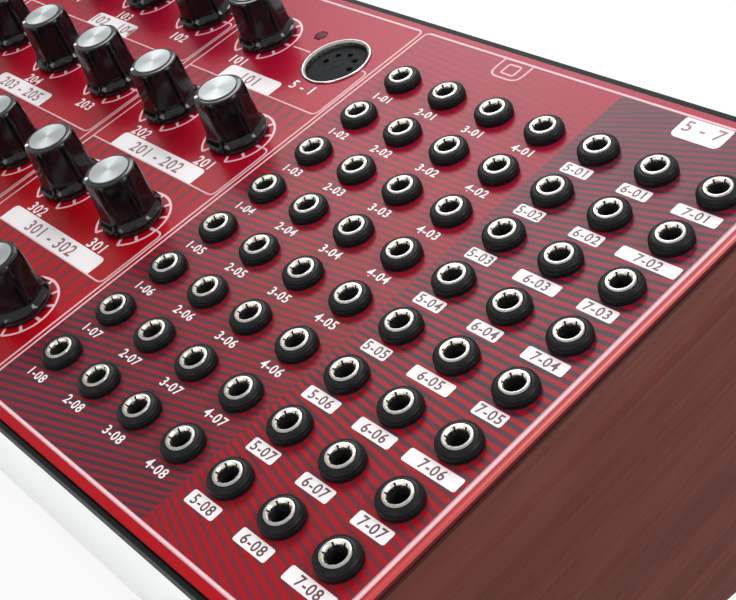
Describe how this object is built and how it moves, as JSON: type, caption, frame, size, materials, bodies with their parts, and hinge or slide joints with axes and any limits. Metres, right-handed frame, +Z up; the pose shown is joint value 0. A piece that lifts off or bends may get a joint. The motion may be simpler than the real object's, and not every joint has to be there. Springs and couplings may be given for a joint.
{
  "type": "analog synthesizer",
  "caption": "Desktop analog synthesizer with a sloping red panel, black knobs, a patchbay of sockets and wooden side cheeks.",
  "frame": {"origin": "centre of the footprint of the whole instrument, on the surface that its feet stand on", "axes": "+X to the player's right along the panel, +Y away from the player to the rear wall, +Z up"},
  "size_m": [0.4224, 0.1306, 0.0908],
  "materials": {
    "panel": "satin red lacquer with printed white and grey lines",
    "frame": "satin black powder coat",
    "case_paint": "light grey fine-textured paint",
    "cheek_wood": "reddish brown open-pored wood, thin satin finish",
    "screw_black": "blackened",
    "rubber": "matt",
    "socket_metal": "bright plated",
    "nut_black": "black, satin",
    "component_metal": "satin",
    "component_black": "moulded, matt",
    "lamp": "dark translucent lens, unlit",
    "board": "green laminate",
    "rocker_black": "moulded",
    "button_cap": "moulded",
    "knob_black": "glossy black body with a brushed metal cap"
  },
  "bodies": {
    "case": {"front_panel": "panel", "top_frame": "frame", "lower_case": "case_paint", "rear_plate": "frame", "cheek_left": "cheek_wood", "cheek_right": "cheek_wood", "case_screws": "screw_black", "rubber_feet": "rubber", "patch_jacks": "socket_metal", "jack_nuts": "nut_black", "potentiometers": "component_metal", "button_switches": "component_black", "indicator_lamps": "lamp", "panel_board": "board", "board_spacers": "component_metal", "io_board": "board", "midi_shells": "socket_metal", "midi_inserts": "component_black", "audio_sockets": "component_black", "usb_socket": "component_metal", "power_inlet": "component_black", "power_switch": "component_black"},
    "rocker": {"power_rocker": "rocker_black"},
    "button_1": {"button_1": "button_cap"},
    "button_2": {"button_2": "button_cap"},
    "button_3": {"button_3": "button_cap"},
    "button_4": {"button_4": "button_cap"},
    "button_5": {"button_5": "button_cap"},
    "button_6": {"button_6": "button_cap"},
    "knob_01": {"knob_01": "knob_black"},
    "knob_02": {"knob_02": "knob_black"},
    "knob_03": {"knob_03": "knob_black"},
    "knob_04": {"knob_04": "knob_black"},
    "knob_05": {"knob_05": "knob_black"},
    "knob_06": {"knob_06": "knob_black"},
    "knob_07": {"knob_07": "knob_black"},
    "knob_08": {"knob_08": "knob_black"},
    "knob_09": {"knob_09": "knob_black"},
    "knob_10": {"knob_10": "knob_black"},
    "knob_11": {"knob_11": "knob_black"},
    "knob_12": {"knob_12": "knob_black"},
    "knob_13": {"knob_13": "knob_black"},
    "knob_14": {"knob_14": "knob_black"},
    "knob_15": {"knob_15": "knob_black"},
    "knob_16": {"knob_16": "knob_black"},
    "knob_17": {"knob_17": "knob_black"},
    "knob_18": {"knob_18": "knob_black"},
    "knob_19": {"knob_19": "knob_black"},
    "knob_20": {"knob_20": "knob_black"},
    "knob_21": {"knob_21": "knob_black"},
    "knob_22": {"knob_22": "knob_black"},
    "knob_23": {"knob_23": "knob_black"},
    "knob_24": {"knob_24": "knob_black"},
    "knob_25": {"knob_25": "knob_black"},
    "knob_26": {"knob_26": "knob_black"},
    "knob_27": {"knob_27": "knob_black"},
    "knob_28": {"knob_28": "knob_black"}
  },
  "joints": [
    {"name": "rocker_pivot", "type": "hinge", "parent": "case", "child": "rocker", "pos_m": [0.13, 0.05749, 0.0391], "axis": [1, 0, 0], "range_deg": [-16, 0]},
    {"name": "button_1_press", "type": "slide", "parent": "case", "child": "button_1", "axis": [0, 0.2588, -0.9659], "range_m": [0, 0.001], "stiffness_N_per_m": 600, "springref_m": -0.0008},
    {"name": "button_2_press", "type": "slide", "parent": "case", "child": "button_2", "axis": [0, 0.2588, -0.9659], "range_m": [0, 0.001], "stiffness_N_per_m": 600, "springref_m": -0.0008},
    {"name": "button_3_press", "type": "slide", "parent": "case", "child": "button_3", "axis": [0, 0.2588, -0.9659], "range_m": [0, 0.001], "stiffness_N_per_m": 600, "springref_m": -0.0008},
    {"name": "button_4_press", "type": "slide", "parent": "case", "child": "button_4", "axis": [0, 0.2588, -0.9659], "range_m": [0, 0.001], "stiffness_N_per_m": 600, "springref_m": -0.0008},
    {"name": "button_5_press", "type": "slide", "parent": "case", "child": "button_5", "axis": [0, 0.2588, -0.9659], "range_m": [0, 0.001], "stiffness_N_per_m": 600, "springref_m": -0.0008},
    {"name": "button_6_press", "type": "slide", "parent": "case", "child": "button_6", "axis": [0, 0.2588, -0.9659], "range_m": [0, 0.001], "stiffness_N_per_m": 600, "springref_m": -0.0008},
    {"name": "knob_01_turn", "type": "hinge", "parent": "case", "child": "knob_01", "pos_m": [0.0646, 0.04151, 0.07673], "axis": [0, -0.2588, 0.9659], "range_deg": [-300, 0]},
    {"name": "knob_02_turn", "type": "hinge", "parent": "case", "child": "knob_02", "pos_m": [0.0394, 0.04151, 0.07673], "axis": [0, -0.2588, 0.9659], "range_deg": [-300, 0]},
    {"name": "knob_03_turn", "type": "hinge", "parent": "case", "child": "knob_03", "pos_m": [0.0142, 0.04151, 0.07673], "axis": [0, -0.2588, 0.9659], "range_deg": [-300, 0]},
    {"name": "knob_04_turn", "type": "hinge", "parent": "case", "child": "knob_04", "pos_m": [-0.011, 0.04151, 0.07673], "axis": [0, -0.2588, 0.9659], "range_deg": [-300, 0]},
    {"name": "knob_05_turn", "type": "hinge", "parent": "case", "child": "knob_05", "pos_m": [-0.0488, 0.04151, 0.07673], "axis": [0, -0.2588, 0.9659], "range_deg": [-300, 0]},
    {"name": "knob_06_turn", "type": "hinge", "parent": "case", "child": "knob_06", "pos_m": [-0.1118, 0.04151, 0.07673], "axis": [0, -0.2588, 0.9659], "range_deg": [-300, 0]},
    {"name": "knob_07_turn", "type": "hinge", "parent": "case", "child": "knob_07", "pos_m": [-0.1748, 0.04151, 0.07673], "axis": [0, -0.2588, 0.9659], "range_deg": [-300, 0]},
    {"name": "knob_08_turn", "type": "hinge", "parent": "case", "child": "knob_08", "pos_m": [0.0898, 0.01263, 0.06899], "axis": [0, -0.2588, 0.9659], "range_deg": [-300, 0]},
    {"name": "knob_09_turn", "type": "hinge", "parent": "case", "child": "knob_09", "pos_m": [0.0646, 0.01263, 0.06899], "axis": [0, -0.2588, 0.9659], "range_deg": [-300, 0]},
    {"name": "knob_10_turn", "type": "hinge", "parent": "case", "child": "knob_10", "pos_m": [0.0394, 0.01263, 0.06899], "axis": [0, -0.2588, 0.9659], "range_deg": [-300, 0]},
    {"name": "knob_11_turn", "type": "hinge", "parent": "case", "child": "knob_11", "pos_m": [0.0142, 0.01263, 0.06899], "axis": [0, -0.2588, 0.9659], "range_deg": [-300, 0]},
    {"name": "knob_12_turn", "type": "hinge", "parent": "case", "child": "knob_12", "pos_m": [-0.011, 0.01263, 0.06899], "axis": [0, -0.2588, 0.9659], "range_deg": [-300, 0]},
    {"name": "knob_13_turn", "type": "hinge", "parent": "case", "child": "knob_13", "pos_m": [-0.0488, 0.01263, 0.06899], "axis": [0, -0.2588, 0.9659], "range_deg": [-300, 0]},
    {"name": "knob_14_turn", "type": "hinge", "parent": "case", "child": "knob_14", "pos_m": [-0.1118, 0.01263, 0.06899], "axis": [0, -0.2588, 0.9659], "range_deg": [-300, 0]},
    {"name": "knob_15_turn", "type": "hinge", "parent": "case", "child": "knob_15", "pos_m": [-0.1748, 0.01263, 0.06899], "axis": [0, -0.2588, 0.9659], "range_deg": [-300, 0]},
    {"name": "knob_16_turn", "type": "hinge", "parent": "case", "child": "knob_16", "pos_m": [0.0898, -0.01626, 0.06125], "axis": [0, -0.2588, 0.9659], "range_deg": [-300, 0]},
    {"name": "knob_17_turn", "type": "hinge", "parent": "case", "child": "knob_17", "pos_m": [0.0646, -0.01626, 0.06125], "axis": [0, -0.2588, 0.9659], "range_deg": [-300, 0]},
    {"name": "knob_18_turn", "type": "hinge", "parent": "case", "child": "knob_18", "pos_m": [0.0394, -0.01626, 0.06125], "axis": [0, -0.2588, 0.9659], "range_deg": [-300, 0]},
    {"name": "knob_19_turn", "type": "hinge", "parent": "case", "child": "knob_19", "pos_m": [0.0142, -0.01626, 0.06125], "axis": [0, -0.2588, 0.9659], "range_deg": [-300, 0]},
    {"name": "knob_20_turn", "type": "hinge", "parent": "case", "child": "knob_20", "pos_m": [-0.011, -0.01626, 0.06125], "axis": [0, -0.2588, 0.9659], "range_deg": [-300, 0]},
    {"name": "knob_21_turn", "type": "hinge", "parent": "case", "child": "knob_21", "pos_m": [-0.0488, -0.01626, 0.06125], "axis": [0, -0.2588, 0.9659], "range_deg": [-300, 0]},
    {"name": "knob_22_turn", "type": "hinge", "parent": "case", "child": "knob_22", "pos_m": [-0.1118, -0.01626, 0.06125], "axis": [0, -0.2588, 0.9659], "range_deg": [-300, 0]},
    {"name": "knob_23_turn", "type": "hinge", "parent": "case", "child": "knob_23", "pos_m": [-0.1748, -0.01626, 0.06125], "axis": [0, -0.2588, 0.9659], "range_deg": [-300, 0]},
    {"name": "knob_24_turn", "type": "hinge", "parent": "case", "child": "knob_24", "pos_m": [0.0898, -0.04514, 0.05351], "axis": [0, -0.2588, 0.9659], "range_deg": [-300, 0]},
    {"name": "knob_25_turn", "type": "hinge", "parent": "case", "child": "knob_25", "pos_m": [0.0646, -0.04514, 0.05351], "axis": [0, -0.2588, 0.9659], "range_deg": [-300, 0]},
    {"name": "knob_26_turn", "type": "hinge", "parent": "case", "child": "knob_26", "pos_m": [0.0394, -0.04514, 0.05351], "axis": [0, -0.2588, 0.9659], "range_deg": [-300, 0]},
    {"name": "knob_27_turn", "type": "hinge", "parent": "case", "child": "knob_27", "pos_m": [0.0142, -0.04514, 0.05351], "axis": [0, -0.2588, 0.9659], "range_deg": [-300, 0]},
    {"name": "knob_28_turn", "type": "hinge", "parent": "case", "child": "knob_28", "pos_m": [-0.011, -0.04514, 0.05351], "axis": [0, -0.2588, 0.9659], "range_deg": [-300, 0]}
  ]
}
